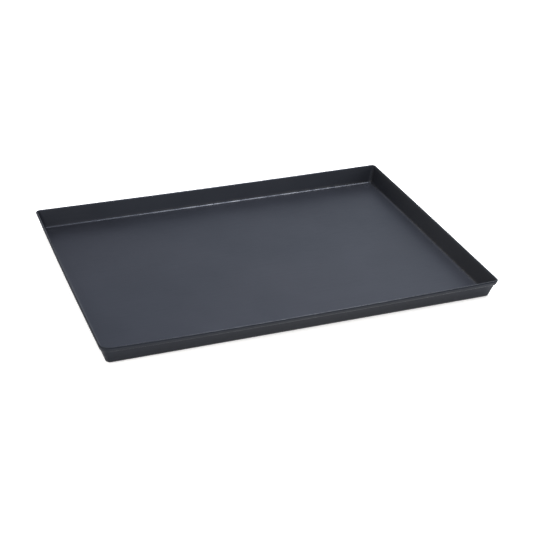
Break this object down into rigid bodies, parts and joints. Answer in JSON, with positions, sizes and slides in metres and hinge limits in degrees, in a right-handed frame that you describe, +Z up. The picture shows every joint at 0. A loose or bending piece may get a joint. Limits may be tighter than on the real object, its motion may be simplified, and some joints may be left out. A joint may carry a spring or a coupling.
{
  "type": "baking tray",
  "caption": "Shallow rectangular tray of dark blued sheet steel with a flat floor, low flared walls and a flat-hemmed rim, open at the top.",
  "frame": {"origin": "middle of the underside of the flat floor, in the plane that the tray rests on", "axes": "+X along the tray's length, +Y along its width, +Z up out of the open top"},
  "size_m": [0.4, 0.3, 0.02],
  "materials": {
    "blued_steel": "satin, dark blue-grey blued surface"
  },
  "bodies": {
    "root": {"tray_pan": "blued_steel"}
  },
  "joints": []
}
